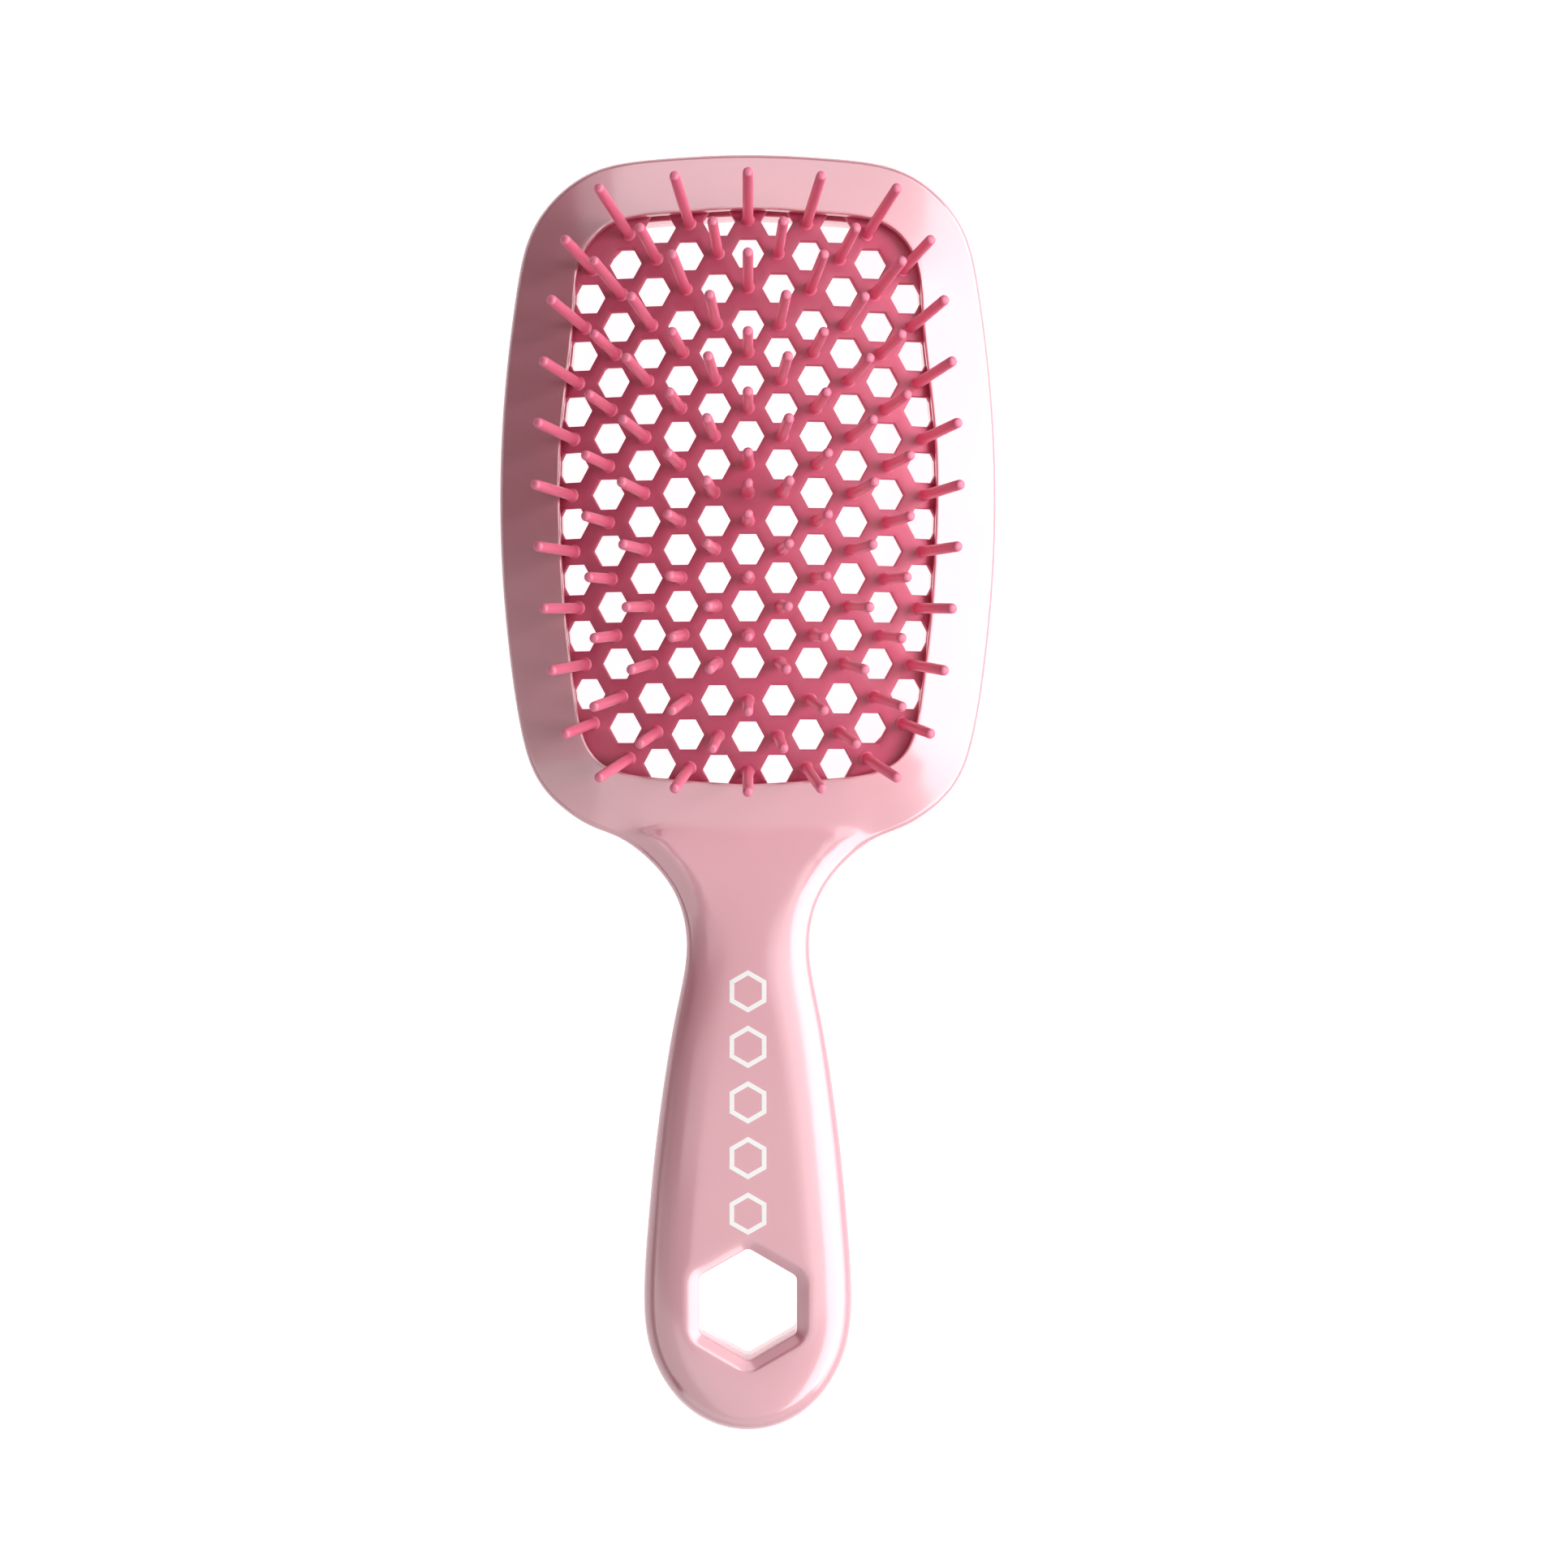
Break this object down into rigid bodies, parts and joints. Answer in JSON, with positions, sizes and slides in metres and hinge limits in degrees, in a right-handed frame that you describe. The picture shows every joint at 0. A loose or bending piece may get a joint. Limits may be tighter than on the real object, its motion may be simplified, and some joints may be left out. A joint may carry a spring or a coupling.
{
  "type": "paddle brush",
  "caption": "Vented paddle brush with a domed honeycomb pad of blunt pins in a glossy two-shell frame, and a hexagonal hanging hole in the handle.",
  "frame": {"origin": "middle of the object's box, on the surface that the back shell rests on", "axes": "+Z out of the pad along the pins, +Y along the handle towards the head, +X across the head"},
  "size_m": [0.0914, 0.235, 0.0335],
  "materials": {
    "shell_pink": "high gloss moulded ABS",
    "pad_pink": "satin flexible nylon",
    "pin_pink": "satin nylon"
  },
  "bodies": {
    "frame": {"front_shell": "shell_pink", "back_shell": "shell_pink"},
    "cushion": {"cushion_pad": "pad_pink", "pin_strip_01": "pin_pink", "pin_strip_02": "pin_pink", "pin_strip_03": "pin_pink", "pin_strip_04": "pin_pink", "pin_strip_05": "pin_pink", "pin_strip_06": "pin_pink", "pin_strip_07": "pin_pink", "pin_strip_08": "pin_pink", "pin_strip_09": "pin_pink", "pin_strip_10": "pin_pink", "pin_strip_11": "pin_pink", "pin_strip_12": "pin_pink", "pin_strip_13": "pin_pink", "pin_strip_14": "pin_pink", "centre_pin": "pin_pink"}
  },
  "joints": [
    {"name": "pad_press", "type": "slide", "parent": "frame", "child": "cushion", "axis": [0, 0, -1], "range_m": [0, 0.0012], "stiffness_N_per_m": 4000}
  ]
}
